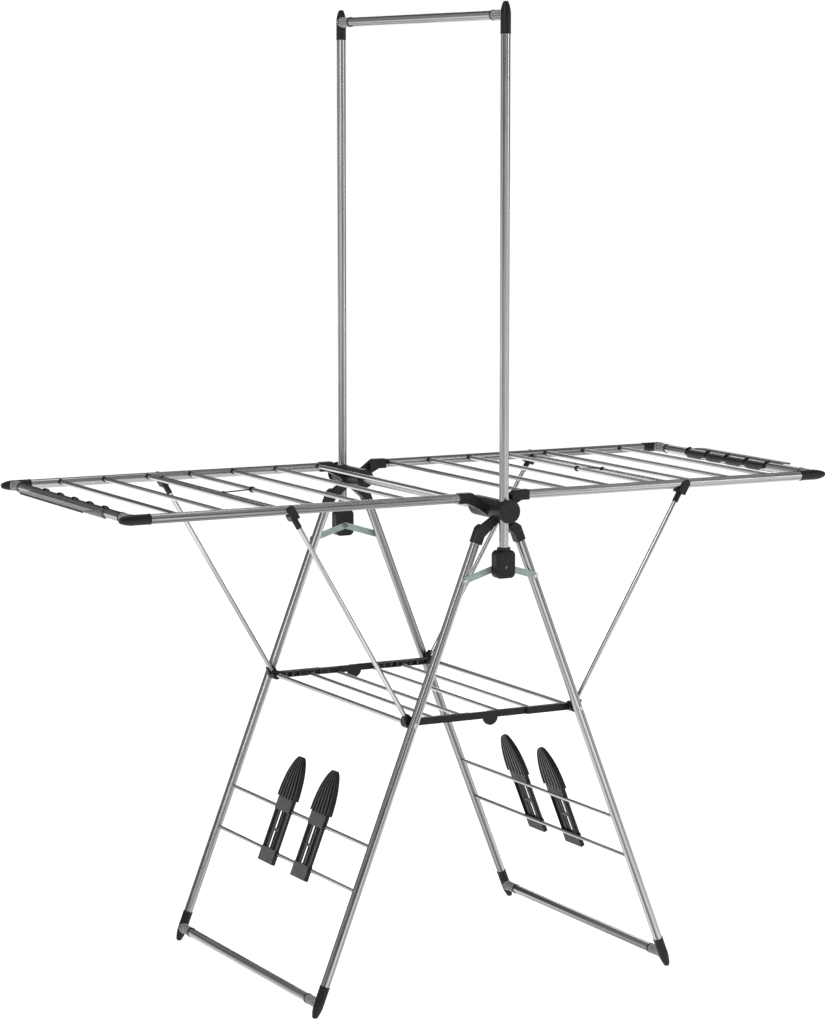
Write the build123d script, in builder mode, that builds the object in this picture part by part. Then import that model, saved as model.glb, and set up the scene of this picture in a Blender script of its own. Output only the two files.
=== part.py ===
from build123d import *
from math import atan2, cos, degrees, hypot, radians, sin
import os

# Clothes drying rack: two leg frames and two wings that fold about one hub axis, a hanger rail that
# slides in the hub, a shelf that folds between the legs, and a prop under each wing.
# Millimetres. X runs from wing to wing, Y is the depth, Z is up. The origin is on the floor below the hub.
# Every left-hand piece is modelled; its right-hand twin is the same piece turned half a turn about Z.
# Legs and wings are drawn lying flat (along -X at hub height) and the legs are then swung down.

# ---- driving dimensions ---------------------------------------------------------------------------
HUB_Z = 832.0            # height of the folding axis
LEAN = 21.36             # angle of an open leg from the vertical
ARM_OFFSET = 20.0        # distance of leg and wing tubes from the folding axis
TUBE_R = 8.0
TUBE_BORE_R = 7.0
PLUG_R = 6.95            # spigots pushed into the tubes
ROD_WALL = 0.8
RUNNING = 0.08           # radial clearance of a pivot

LEG_Y = 279.0            # planes of the four kinds of tube, front and back
WING_Y = 262.0
POST_Y = 300.0
AXLE_END = 288.0
INNER_SLEEVE_Y = 208.0
INNER_SLEEVE_LENGTH = 45.1
CROSS_ROD_END = 287.2
ARM_WIDTH = 16.6
ARM_LENGTH = 67.0
LAP_LENGTH = 34.0        # stretch of an arm that is half as wide, so that two arms share one axle
LAP_GAP = 0.4
RING_R = 17.0

CAP_R = 8.7
CAP_SKIRT = 31.0         # from the branch axis to the open end of a corner connector
CAP_NOSE = 22.0          # from the branch axis to its tip
FOOT_NOSE = 24.5
TUBE_STOP = 6.0          # where the tube ends inside the connector
SLEEVE_END = 41.0        # from the connector axis to the far end of the fluted sleeve

WING_BAR = 657.0         # distance of the outer bar from the hub, along the wing
WING_RODS = (72.0, 157.0, 242.0, 325.0, 407.0, 490.0, 572.0)
WING_ROD_R = 3.75
WING_ROD_RISE = 2.0
EYELET_R = 4.8
EYELET_LENGTH = 3.5

FOOT_BAR = 877.0         # distances along the leg
CROSS_ROD = 388.3
CROSS_ROD_R = 4.0
SHOE_RODS = (604.0, 682.0)
SHOE_ROD_R = 3.25

RAIL_Z = 1652.3          # hanger rail
POST_FOOT_Z = 725.0
LINK_PIVOT_Z = 737.0
BOX_WIDTH = 36.0
BOX_LOW_Z = 717.8
BOX_TOP_Z = 765.4
BOX_CORNER_R = 9.0
BOX_ROUNDING = 4.5          # along the edge of the front face
BOX_REAR_Y = 290.2
BOX_SPLIT_Y = 292.0
BOX_FRONT_Y = 311.0
PIN_R = 2.5
SCREW_HEAD_R = 3.1
SCREW_HEAD_Y = 308.0        # bottom of the recess for the screw head
SCREW_END_R = 4.2
SCREW_END_Y = 287.3         # inner face of the links, where the riveted end of the screw begins

RIVET_X = 67.0
RIVET_Z = 716.5
LINK_WIDTH = 11.5
LINK_THICK = 1.0
LINK_Y = 287.6           # inner face of the left link; the right link lies just outside it
LINK_STEP = 1.3

SHELF_KNUCKLE_Z = 473.5
SHELF_INNER_Y = 248.2
SHELF_OUTER_Y = 257.2
SHELF_LOW = -2.0         # lower and upper edge of a side bar, from the knuckle axis
SHELF_HIGH = 10.0
SHELF_LAP = 72.0
SHELF_RODS = (38.0, 95.0)
SHELF_ROD_R = 3.25
TAB_R = 14.0

PROP_TOP_X = 379.0       # cross rod of the prop, under the wing tubes
PROP_TOP_Z = 848.9
STRUT_R = 4.0
STRUT_Y = 262.6
SADDLE_GAP = 0.4

HOLDER_Y = (53.0, -78.0)
COMB_Y = -17.0
RIGHT_COMB_Y = -13.0        # before the half turn that makes the right half
COMB_PITCH = 65.0
COMB_LENGTH = 286.0
COMB_SHELL_R = 10.8
COMB_REACH = 42.0           # from the bar's axis to the serrated edge

LEG_SWING = 90.0 - LEAN
HUB_AXIS = Axis((0, 0, HUB_Z), (0, -1, 0))
TUBE_Z = HUB_Z + ARM_OFFSET
SIDES = (-1, 1)          # front and back


# ---- helpers --------------------------------------------------------------------------------------
def bars(spans, radius, bore=0.0):
    """Round bars between pairs of points, as one group of solids, hollow if they have a bore."""
    with BuildPart() as made:
        for start, end in spans:
            run = Vector(*end) - Vector(*start)
            with BuildSketch(Plane(origin=start, z_dir=run)):
                Circle(radius)
                if bore:
                    Circle(bore, mode=Mode.SUBTRACT)
            extrude(amount=run.length)
    return made.part


def pipes(spans):
    """Main tubes between pairs of points."""
    return bars(spans, TUBE_R, TUBE_BORE_R)


def rods(spans, radius):
    """Thin-walled rods between pairs of points."""
    return bars(spans, radius, radius - ROD_WALL)


def swung_down(piece):
    """A leg piece drawn along -X, swung to the open leg."""
    return piece.rotate(HUB_AXIS, LEG_SWING)


def turned(piece):
    """The right-hand twin of a left-hand piece."""
    return piece.rotate(Axis.Z, 180)


def placed(piece, origin, z_dir, x_dir=None):
    return Plane(origin=origin, x_dir=x_dir, z_dir=z_dir).location * piece


def group(*pieces):
    """Several placed solids as one node."""
    with BuildPart() as made:
        for piece in pieces:
            add(piece)
    return made.part


def save(piece, name):
    piece.label = name
    export_step(piece, f"parts/{name}.step")


def save_pair(piece, name):
    save(piece, f"left_{name}")
    save(turned(piece), f"right_{name}")


# ---- shared mouldings -----------------------------------------------------------------------------
def connector(nose):
    """Corner connector: a cap over the tube end with a blunt pointed nose. Its branch is at z = 0."""
    with BuildPart() as made:
        with BuildSketch(Plane.XZ):
            with BuildLine():
                rim = Polyline(
                    (TUBE_R, -CAP_SKIRT), (CAP_R + 0.4, -CAP_SKIRT), (CAP_R + 0.4, 1.6 - CAP_SKIRT),
                    (CAP_R, 2.0 - CAP_SKIRT), (CAP_R, 0),
                )
                side = TangentArc(rim @ 1, (4.6, nose - 1.6), tangent=(0, 1))
                Polyline(
                    side @ 1, (3.2, nose), (0, nose), (0, -TUBE_STOP),
                    (TUBE_R, -TUBE_STOP), (TUBE_R, -CAP_SKIRT),
                )
            make_face()
        revolve(axis=Axis.Z)
    return made.part


def sleeve():
    """Fluted sleeve of the branch: it meets the connector's side and plugs into the bar, along +Z."""
    flutes = 12
    rim = 2.5
    plug = 25.0
    with BuildPart() as made:
        with BuildSketch():
            Circle(CAP_R - 0.2)
            with PolarLocations(CAP_R + 0.5, flutes):
                Circle(1.2, mode=Mode.SUBTRACT)
        extrude(amount=SLEEVE_END - rim)
        with BuildSketch(Plane.XY.offset(SLEEVE_END - rim)):
            Circle(CAP_R + 0.3)
        extrude(amount=rim)
        with BuildSketch(Plane.XY.offset(SLEEVE_END)):
            Circle(PLUG_R)
        extrude(amount=plug)
        with BuildSketch(Plane.YZ):
            Circle(CAP_R)
        extrude(amount=2 * CAP_R, both=True, mode=Mode.SUBTRACT)
    return made.part


def corner_pair(x, y, z, nose_dir, nose):
    """The two connectors of a bar, at its front and back end."""
    cap = connector(nose)
    return group(*(placed(cap, (x, side * y, z), nose_dir) for side in SIDES))


def sleeve_pair(x, y, z, tube_dir):
    piece = sleeve()
    return group(*(placed(piece, (x, side * y, z), (0, -side, 0), tube_dir) for side in SIDES))


def arm(tube_y, outer_lap):
    """Front hinge arm of a left tube: block and plug at the tube, half-width ring on the axle."""
    low = tube_y - ARM_WIDTH / 2
    half_block = 8.6
    with BuildPart() as made:
        with BuildSketch(Plane.XZ.offset(low)):
            with BuildLine():
                Polyline(
                    (-ARM_LENGTH, TUBE_Z + half_block), (-43, TUBE_Z + half_block), (-15, HUB_Z + 8),
                    (0, HUB_Z), (-12, HUB_Z - 12), (-30, HUB_Z), (-52, TUBE_Z - half_block),
                    (-ARM_LENGTH, TUBE_Z - half_block), (-ARM_LENGTH, TUBE_Z + half_block),
                )
            make_face()
            with Locations((0, HUB_Z)):
                Circle(RING_R)
        extrude(amount=ARM_WIDTH)
        chamfer(made.edges().filter_by(Axis.X).group_by(Axis.Z)[-1], 2.2)
        lap_start = low if outer_lap else tube_y - LAP_GAP / 2
        with BuildSketch(Plane.XZ.offset(lap_start)):
            with Locations((RING_R - LAP_LENGTH / 2, HUB_Z)):
                Rectangle(LAP_LENGTH + 2 * RING_R, 4 * RING_R)
        extrude(amount=(ARM_WIDTH + LAP_GAP) / 2, mode=Mode.SUBTRACT)
        with BuildSketch(Plane.XZ.offset(low)):
            with Locations((0, HUB_Z)):
                Circle(TUBE_R + RUNNING)
        extrude(amount=ARM_WIDTH, mode=Mode.SUBTRACT)
        with BuildSketch(Plane(origin=(-ARM_LENGTH, -tube_y, TUBE_Z), z_dir=(-1, 0, 0))):
            Circle(PLUG_R)
        extrude(amount=28)
    return made.part


def arm_pair(tube_y):
    return group(arm(tube_y, True), arm(tube_y, False).mirror(Plane.XZ))


def cut_from(piece, *tools):
    """The piece less the tools, as one node of solids."""
    with BuildPart() as made:
        add(piece)
        for tool in tools:
            add(tool, mode=Mode.SUBTRACT)
    return made.part


def across(x, z, reach):
    """Front and back end of a bar that runs across the rack."""
    return (x, -reach, z), (x, reach, z)


def sector(inner, outer, start, end):
    """Ring sector between two angles in degrees."""
    with BuildSketch(Plane.XY) as made:
        with BuildLine():
            rim = CenterArc((0, 0), outer, start, end - start)
            bore = CenterArc((0, 0), inner, start, end - start)
            Line(rim @ 0, bore @ 0)
            Line(rim @ 1, bore @ 1)
        make_face()
    return made.sketch


os.makedirs("parts", exist_ok=True)


# ---- hub ------------------------------------------------------------------------------------------
def hub_end():
    """Post collar: it carries the post in a vertical bore and is plugged into the axle tube."""
    collar_r = 17.5
    collar_back = AXLE_END
    collar_front = 317.0
    plug = 26.0
    with BuildPart() as made:
        with BuildSketch(Plane.XZ.offset(collar_back)):
            with Locations((0, HUB_Z)):
                Circle(collar_r)
        extrude(amount=collar_front - collar_back)
        with BuildSketch(Plane.XZ.offset(collar_back)):
            with Locations((0, HUB_Z)):
                Circle(PLUG_R)
        extrude(amount=-plug)
        with BuildSketch(Plane(origin=(0, -POST_Y, HUB_Z))):
            Circle(TUBE_R + RUNNING)
        extrude(amount=2 * collar_r, both=True, mode=Mode.SUBTRACT)
    return made.part


def hub_cap():
    """Domed disc that closes the front of a post collar."""
    cap_r = 20.0
    back = 317.0
    thick = 4.5
    with BuildPart() as made:
        with BuildSketch(Plane.XZ.offset(back)):
            with Locations((0, HUB_Z)):
                Circle(cap_r)
        extrude(amount=thick)
        fillet(made.faces().sort_by(Axis.Y)[0].edges(), 1.6)
    return made.part


def inner_sleeve():
    """Spacer on the axle that keeps the wing rings together."""
    with BuildPart() as made:
        with BuildSketch(Plane.XZ.offset(INNER_SLEEVE_Y)):
            with Locations((0, HUB_Z)):
                Circle(RING_R)
                Circle(TUBE_R, mode=Mode.SUBTRACT)
        extrude(amount=INNER_SLEEVE_LENGTH)
    return made.part


collar = hub_end()
save(pipes([across(0, HUB_Z, AXLE_END)]), "axle_tube")
save(group(collar, turned(collar)), "post_collars")
save(group(hub_cap(), turned(hub_cap())), "hub_caps")
save(group(inner_sleeve(), turned(inner_sleeve())), "axle_spacers")


# ---- leg frames -----------------------------------------------------------------------------------
def tube_spans(tube_y, end):
    return [((-ARM_LENGTH, side * tube_y, TUBE_Z), (-end, side * tube_y, TUBE_Z)) for side in SIDES]


cross_rod = bars([across(-CROSS_ROD, TUBE_Z, CROSS_ROD_END)], CROSS_ROD_R)
leg_spans = tube_spans(LEG_Y, FOOT_BAR - TUBE_STOP)
leg_tubes = cut_from(pipes(leg_spans), cross_rod)
shoe_rods = cut_from(
    rods([across(-s, TUBE_Z, LEG_Y) for s in SHOE_RODS], SHOE_ROD_R), bars(leg_spans, TUBE_R)
)
feet = swung_down(corner_pair(-FOOT_BAR, LEG_Y, TUBE_Z, (-1, 0, 0), FOOT_NOSE))
with BuildPart() as floor:
    with Locations((0, 0, -50)):
        Box(2000, 2000, 100)
feet = cut_from(feet, floor.part)

save_pair(swung_down(leg_tubes), "leg_tubes")
save_pair(swung_down(arm_pair(LEG_Y)), "leg_arms")
save_pair(swung_down(pipes([across(-FOOT_BAR, TUBE_Z, LEG_Y - SLEEVE_END)])), "foot_bar")
save_pair(feet, "foot_connectors")
save_pair(swung_down(sleeve_pair(-FOOT_BAR, LEG_Y, TUBE_Z, (1, 0, 0))), "foot_sleeves")
save_pair(swung_down(cross_rod), "leg_cross_rod")
save_pair(swung_down(shoe_rods), "shoe_rods")


# ---- wings ----------------------------------------------------------------------------------------
wing_spans = tube_spans(WING_Y, WING_BAR - TUBE_STOP)
wing_cores = bars(wing_spans, TUBE_R)
rod_z = TUBE_Z + WING_ROD_RISE
rod_spans = [across(-s, rod_z, WING_Y) for s in WING_RODS]
full_rods = bars(rod_spans, WING_ROD_R)
eyelet_start = WING_Y - TUBE_R - EYELET_LENGTH
eyelet_spans = [
    ((-s, side * eyelet_start, rod_z), (-s, side * WING_Y, rod_z)) for s in WING_RODS for side in SIDES
]

save_pair(pipes(wing_spans), "wing_tubes")
save_pair(arm_pair(WING_Y), "wing_arms")
save_pair(pipes([across(-WING_BAR, TUBE_Z, WING_Y - SLEEVE_END)]), "wing_outer_bar")
save_pair(corner_pair(-WING_BAR, WING_Y, TUBE_Z, (-1, 0, 0), CAP_NOSE), "wing_connectors")
save_pair(sleeve_pair(-WING_BAR, WING_Y, TUBE_Z, (1, 0, 0)), "wing_sleeves")
save_pair(cut_from(rods(rod_spans, WING_ROD_R), wing_cores), "wing_rods")
save_pair(cut_from(bars(eyelet_spans, EYELET_R), wing_cores, full_rods), "wing_eyelets")


# ---- latch ----------------------------------------------------------------------------------------
def latch():
    """Wire latch: a ring round a wing rod and a hook over the cross rod of the prop."""
    latch_y = -1.0
    width = 8.0
    wire_r = 1.6
    rod_x = -WING_RODS[3]
    with BuildPart() as made:
        with BuildSketch(Plane.XZ.offset(latch_y)):
            with Locations((rod_x, rod_z)):
                Circle(6.4)
            with Locations((-PROP_TOP_X, PROP_TOP_Z)):
                add(sector(4.2, 6.6, -10, 116))
        extrude(amount=width)
        with BuildSketch(Plane(origin=(rod_x, -3, rod_z), z_dir=(-1, 0, -0.05))):
            Circle(wire_r)
        extrude(amount=49.5)
        with BuildSketch(Plane.XZ.offset(latch_y)):
            with Locations((rod_x, rod_z)):
                Circle(WING_ROD_R + RUNNING)
        extrude(amount=width, mode=Mode.SUBTRACT)
    return made.part


save_pair(latch(), "latch")


# ---- combs for coat hangers -----------------------------------------------------------------------
def comb(centre_y):
    """Snap-on hanger comb: half shell with a wing on its outer side, hooks above, ramps below."""
    inner = TUBE_R + RUNNING
    hook_width = 5.0
    ramp_length = COMB_PITCH - 2 * hook_width
    half_length = COMB_LENGTH / 2
    hooks = [COMB_PITCH * k for k in (-2, -1, 0, 1, 2)]
    ramps = [COMB_PITCH * k for k in (-1.5, -0.5, 0.5, 1.5)]
    wing = ((-5.0, 9.4), (-COMB_REACH, 6.0), (-COMB_REACH, 4.0), (-9.0, 4.5), (-5.0, 9.4))
    with BuildPart() as made:
        with BuildSketch(Plane.XZ.offset(-centre_y - half_length)):
            with Locations((-WING_BAR, TUBE_Z)):
                add(sector(inner, COMB_SHELL_R, 96, 285))
            with BuildLine():
                Polyline([(x - WING_BAR, z + TUBE_Z) for x, z in wing])
            make_face()
        extrude(amount=COMB_LENGTH)
        for step in hooks:
            with BuildSketch(Plane.XZ.offset(-centre_y - step - hook_width / 2)):
                with Locations((-WING_BAR, TUBE_Z)):
                    add(sector(inner + 0.1, COMB_SHELL_R + 0.8, -20, 110))
            extrude(amount=hook_width)
        for step in ramps:
            with BuildSketch(Plane.XZ.offset(-centre_y - step - ramp_length / 2 - hook_width / 2)):
                with Locations((-WING_BAR, TUBE_Z)):
                    add(sector(inner + 0.1, COMB_SHELL_R - 0.4, 275, 335))
            extrude(amount=ramp_length)
    return made.part


save(comb(COMB_Y), "left_comb")
save(turned(comb(RIGHT_COMB_Y)), "right_comb")


# ---- shoe holders ---------------------------------------------------------------------------------
def shoe_holder(y):
    """Snap-on shoe holder, drawn on a flat leg: hood, two grooved blocks and a slotted stem."""
    tip, hood_end, block_end, stem_end, base_end = 508.0, 585.0, 609.0, 677.0, 703.0
    hood_half, block_half, stem_half = 32.5, 28.0, 26.0
    slot_pitch, slot_width, bridge = 13.0, 8.5, 4.0
    groove_depth, block_top = 1.6, 6.6
    hood_low, hood_high = -3.0, 9.0
    with BuildPart() as made:
        with BuildSketch(Plane.XY.offset(TUBE_Z + hood_low)):
            with BuildLine():
                one = ThreePointArc((-hood_end, y - hood_half), (-548, y - 26), (-tip - 4, y - 9))
                nose = ThreePointArc(one @ 1, (-tip, y), (-tip - 4, y + 9))
                other = ThreePointArc(nose @ 1, (-548, y + 26), (-hood_end, y + hood_half))
                Line(other @ 1, one @ 0)
            make_face()
        extrude(amount=hood_high - hood_low)
        for start, end in ((hood_end, block_end), (stem_end, base_end)):
            with BuildSketch(Plane.XY.offset(TUBE_Z - groove_depth)):
                with Locations((-(start + end) / 2, y)):
                    Rectangle(end - start, 2 * block_half)
            extrude(amount=block_top + groove_depth)
        with BuildSketch(Plane.XY.offset(TUBE_Z - groove_depth)):
            with Locations((-(block_end + stem_end) / 2, y)):
                Rectangle(stem_end - block_end, 2 * stem_half)
                with GridLocations(0, slot_pitch, 1, 2):
                    Rectangle(stem_end - block_end, slot_width, mode=Mode.SUBTRACT)
                Rectangle(bridge, 2 * stem_half)
        extrude(amount=block_top + groove_depth)
        for s in SHOE_RODS:
            with BuildSketch(Plane.XZ):
                with Locations((-s, TUBE_Z)):
                    Circle(SHOE_ROD_R + RUNNING)
            extrude(amount=LEG_Y, both=True, mode=Mode.SUBTRACT)
    return made.part


for place, y in zip(("back", "front"), HOLDER_Y):
    save(swung_down(shoe_holder(y)), f"left_{place}_shoe_holder")
    save(turned(swung_down(shoe_holder(-y))), f"right_{place}_shoe_holder")


# ---- hanger rail ----------------------------------------------------------------------------------
def link_box():
    """Front shell of the link box with its collar, on the foot of the post."""
    with BuildPart() as made:
        with BuildSketch(Plane.XZ.offset(BOX_SPLIT_Y)):
            with Locations((0, (BOX_LOW_Z + BOX_TOP_Z) / 2)):
                RectangleRounded(BOX_WIDTH, BOX_TOP_Z - BOX_LOW_Z, BOX_CORNER_R)
        extrude(amount=BOX_FRONT_Y - BOX_SPLIT_Y)
        fillet(made.faces().sort_by(Axis.Y)[0].edges(), BOX_ROUNDING)
        with BuildSketch(Plane(origin=(0, -POST_Y, BOX_TOP_Z - 3))):
            Ellipse(12.0, 9.7)
        extrude(amount=7.6)
        with BuildSketch(Plane.XZ.offset(BOX_SPLIT_Y)):
            with Locations((0, BOX_LOW_Z)):
                Rectangle(BOX_WIDTH, 2 * (BOX_TOP_Z - BOX_LOW_Z))
        extrude(amount=-BOX_CORNER_R, mode=Mode.SUBTRACT)
        with BuildSketch(Plane(origin=(0, -POST_Y, POST_FOOT_Z))):
            Circle(TUBE_R)
        extrude(amount=100, mode=Mode.SUBTRACT)
        for radius, start in ((PIN_R, BOX_REAR_Y), (SCREW_HEAD_R + 0.1, SCREW_HEAD_Y)):
            with BuildSketch(Plane.XZ.offset(start)):
                with Locations((0, LINK_PIVOT_Z)):
                    Circle(radius)
            extrude(amount=30, mode=Mode.SUBTRACT)
    return made.part


def box_plate():
    """Rear plate of the link box."""
    with BuildPart() as made:
        with BuildSketch(Plane.XZ.offset(BOX_REAR_Y)):
            with Locations((0, (BOX_LOW_Z + BOX_TOP_Z) / 2)):
                RectangleRounded(BOX_WIDTH, BOX_TOP_Z - BOX_LOW_Z, BOX_CORNER_R)
            with Locations((0, LINK_PIVOT_Z)):
                Circle(PIN_R, mode=Mode.SUBTRACT)
        extrude(amount=BOX_SPLIT_Y - BOX_REAR_Y)
    return made.part


def link_screw():
    """Screw through box and post; both links turn on its rear end."""
    end_thick, head_thick = 1.1, 1.6
    spans = (
        (SCREW_END_R, SCREW_END_Y - end_thick, SCREW_END_Y),
        (PIN_R, SCREW_END_Y, SCREW_HEAD_Y),
        (SCREW_HEAD_R, SCREW_HEAD_Y, SCREW_HEAD_Y + head_thick),
    )
    with BuildPart() as made:
        for radius, start, end in spans:
            with BuildSketch(Plane.XZ.offset(start)):
                with Locations((0, LINK_PIVOT_Z)):
                    Circle(radius)
            extrude(amount=end - start)
    return made.part


def both_ends(piece):
    return group(piece, turned(piece))


screws = both_ends(link_screw())
post_spans = [((0, s * POST_Y, POST_FOOT_Z), (0, s * POST_Y, RAIL_Z - TUBE_STOP)) for s in SIDES]
save(cut_from(pipes(post_spans), bars([across(0, LINK_PIVOT_Z, 320.0)], PIN_R)), "posts")
save(pipes([across(0, RAIL_Z, POST_Y - SLEEVE_END)]), "hanger_bar")
save(corner_pair(0, POST_Y, RAIL_Z, (0, 0, 1), CAP_NOSE), "hanger_bar_connectors")
save(sleeve_pair(0, POST_Y, RAIL_Z, (0, 0, 1)), "hanger_bar_sleeves")
save(both_ends(link_box()), "link_boxes")
save(both_ends(box_plate()), "link_box_plates")
save(screws, "link_screws")


# ---- links ----------------------------------------------------------------------------------------
def link(level):
    """Flat strap from the box screw to the left leg, with its rivet, at the front."""
    pivot = (0, LINK_PIVOT_Z)
    end = (-RIVET_X, RIVET_Z)
    inner = LINK_Y + level * LINK_STEP
    tilt = degrees(atan2(LINK_PIVOT_Z - RIVET_Z, RIVET_X))
    rivet_foot = LEG_Y + TUBE_R + 0.1
    with BuildPart() as made:
        with BuildSketch(Plane.XZ.offset(inner)):
            with Locations(Location((-RIVET_X / 2, (LINK_PIVOT_Z + RIVET_Z) / 2, 0), tilt)):
                SlotCenterToCenter(hypot(RIVET_X, LINK_PIVOT_Z - RIVET_Z), LINK_WIDTH)
            with Locations(pivot):
                Circle(PIN_R + RUNNING, mode=Mode.SUBTRACT)
        extrude(amount=LINK_THICK)
        with BuildSketch(Plane.XZ.offset(rivet_foot)):
            with Locations(end):
                Circle(PIN_R)
        extrude(amount=inner - rivet_foot)
        with BuildSketch(Plane.XZ.offset(inner + LINK_THICK)):
            with Locations(end):
                Circle(3.6)
        extrude(amount=0.9)
    return made.part


save_pair(group(link(0), link(1).mirror(Plane.XZ)), "links")


# ---- shelf ----------------------------------------------------------------------------------------
PIVOT_X = -(ARM_OFFSET * cos(radians(LEAN)) + CROSS_ROD * sin(radians(LEAN)))
PIVOT_Z = HUB_Z + ARM_OFFSET * sin(radians(LEAN)) - CROSS_ROD * cos(radians(LEAN))
low_z = SHELF_KNUCKLE_Z + SHELF_LOW
high_z = SHELF_KNUCKLE_Z + SHELF_HIGH


def shelf_bar(outer_lap):
    """Front side bar of the left half: eye on the leg's cross rod, half-thick end at the knuckle."""
    eye_r = 8.5
    thick = SHELF_OUTER_Y - SHELF_INNER_Y
    cells = (-140.0, -118.0, -76.0)
    with BuildPart() as made:
        with BuildSketch(Plane.XZ.offset(SHELF_INNER_Y)):
            with BuildLine():
                Polyline(
                    (PIVOT_X, PIVOT_Z - 6), (-4, low_z), (-4, high_z), (PIVOT_X, PIVOT_Z + 6),
                    (PIVOT_X, PIVOT_Z - 6),
                )
            make_face()
            with Locations((PIVOT_X, PIVOT_Z)):
                Circle(eye_r)
            with Locations((0, SHELF_KNUCKLE_Z + 4)):
                Circle(6.0)
        extrude(amount=thick)
        with BuildSketch(Plane.XZ.offset(SHELF_INNER_Y)):
            for x in cells:
                with Locations((x, PIVOT_Z)):
                    Rectangle(16.0, 7.5)
        extrude(amount=4.0, mode=Mode.SUBTRACT)
        if outer_lap:
            with BuildSketch(Plane.XZ.offset(SHELF_INNER_Y + thick / 2 + LAP_GAP / 2)):
                with Locations((0, SHELF_KNUCKLE_Z)):
                    Circle(TAB_R)
                with Locations((0, high_z + TAB_R)):
                    Rectangle(2 * TAB_R, 2 * TAB_R, mode=Mode.SUBTRACT)
            extrude(amount=(thick - LAP_GAP) / 2)
        lap_start = SHELF_INNER_Y if outer_lap else SHELF_INNER_Y + (thick - LAP_GAP) / 2
        with BuildSketch(Plane.XZ.offset(lap_start)):
            with Locations(((TAB_R - SHELF_LAP) / 2, SHELF_KNUCKLE_Z)):
                Rectangle(SHELF_LAP + TAB_R, 4 * TAB_R)
        extrude(amount=(thick + LAP_GAP) / 2, mode=Mode.SUBTRACT)
        with BuildSketch(Plane.XZ.offset(SHELF_INNER_Y)):
            with Locations((PIVOT_X, PIVOT_Z)):
                Circle(CROSS_ROD_R + RUNNING)
        extrude(amount=thick, mode=Mode.SUBTRACT)
    return made.part


def shelf_rods(make):
    """Rods of the left half: the inner one ends in a half-thick bar at each end."""
    outer_reach = SHELF_OUTER_Y - 2.0
    inner_reach = (SHELF_INNER_Y + SHELF_OUTER_Y - LAP_GAP) / 2
    z = SHELF_KNUCKLE_Z
    near, far = (-s for s in SHELF_RODS)
    return make(
        [((near, -outer_reach, z), (near, inner_reach - 2.0, z)),
         ((far, -outer_reach, z + 2), (far, outer_reach, z + 2))],
        SHELF_ROD_R,
    )


shelf_bars = group(shelf_bar(True), shelf_bar(False).mirror(Plane.XZ))
save_pair(cut_from(shelf_bars, shelf_rods(bars)), "shelf_bars")
save_pair(shelf_rods(rods), "shelf_rods")


# ---- props ----------------------------------------------------------------------------------------
PROP_LENGTH = hypot(PROP_TOP_X + PIVOT_X, PROP_TOP_Z - PIVOT_Z)
PROP_LEAN = degrees(atan2(PROP_TOP_X + PIVOT_X, PROP_TOP_Z - PIVOT_Z))
PROP_AXIS = Axis((PIVOT_X, 0, PIVOT_Z), (0, -1, 0))
top_z = PIVOT_Z + PROP_LENGTH      # the prop is drawn upright and then leaned outwards


def prop_foot():
    """Foot of the prop at the front: eye on the leg's cross rod and a tapered socket for the strut."""
    inner_y = 259.4
    width = 10.4
    with BuildPart() as made:
        with BuildSketch(Plane.XZ.offset(inner_y)):
            with Locations((PIVOT_X, PIVOT_Z)):
                Circle(8.5)
            with BuildLine():
                Polyline(
                    (PIVOT_X - 4, PIVOT_Z), (PIVOT_X - 8.4, PIVOT_Z + 6), (PIVOT_X - 5.4, PIVOT_Z + 17),
                    (PIVOT_X + 5.4, PIVOT_Z + 17), (PIVOT_X + 8.4, PIVOT_Z + 6), (PIVOT_X + 4, PIVOT_Z),
                    (PIVOT_X - 4, PIVOT_Z),
                )
            make_face()
        extrude(amount=width)
        with BuildSketch(Plane.XZ.offset(inner_y)):
            with Locations((PIVOT_X, PIVOT_Z)):
                Circle(CROSS_ROD_R + RUNNING)
        extrude(amount=width, mode=Mode.SUBTRACT)
    return made.part


def saddle():
    """Saddle at the front: socket on the strut, web below the wing tube and a cheek on each side."""
    cheek = 2.0
    gap = TUBE_R + SADDLE_GAP
    half_long = 7.2
    socket_low, web_low, web_high, cheek_high = top_z - 32, top_z - 15, top_z - 5, top_z + 4.5
    rod_cheek = 4.7
    with BuildPart() as made:
        with BuildSketch(Plane(origin=(PIVOT_X, -STRUT_Y, socket_low))):
            Circle(STRUT_R + 1.1)
        extrude(amount=web_low - socket_low + 2)
        with BuildSketch(Plane(origin=(PIVOT_X, -WING_Y, web_low))):
            Rectangle(2 * half_long, 2 * (gap + cheek))
        extrude(amount=web_high - web_low)
        with BuildSketch(Plane.XZ.offset(WING_Y + gap)):
            with Locations((PIVOT_X, (web_low + cheek_high) / 2)):
                Rectangle(2 * half_long, cheek_high - web_low)
            with Locations((PIVOT_X, cheek_high)):
                Circle(half_long)
        extrude(amount=cheek)
        with BuildSketch(Plane.XZ.offset(WING_Y - gap - cheek)):
            with Locations((PIVOT_X, top_z)):
                Circle(rod_cheek)
            with Locations((PIVOT_X, (top_z + web_low) / 2)):
                Rectangle(2 * rod_cheek, top_z - web_low)
        extrude(amount=cheek)
    return made.part


def leaned(piece):
    return piece.rotate(PROP_AXIS, PROP_LEAN)


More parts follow.
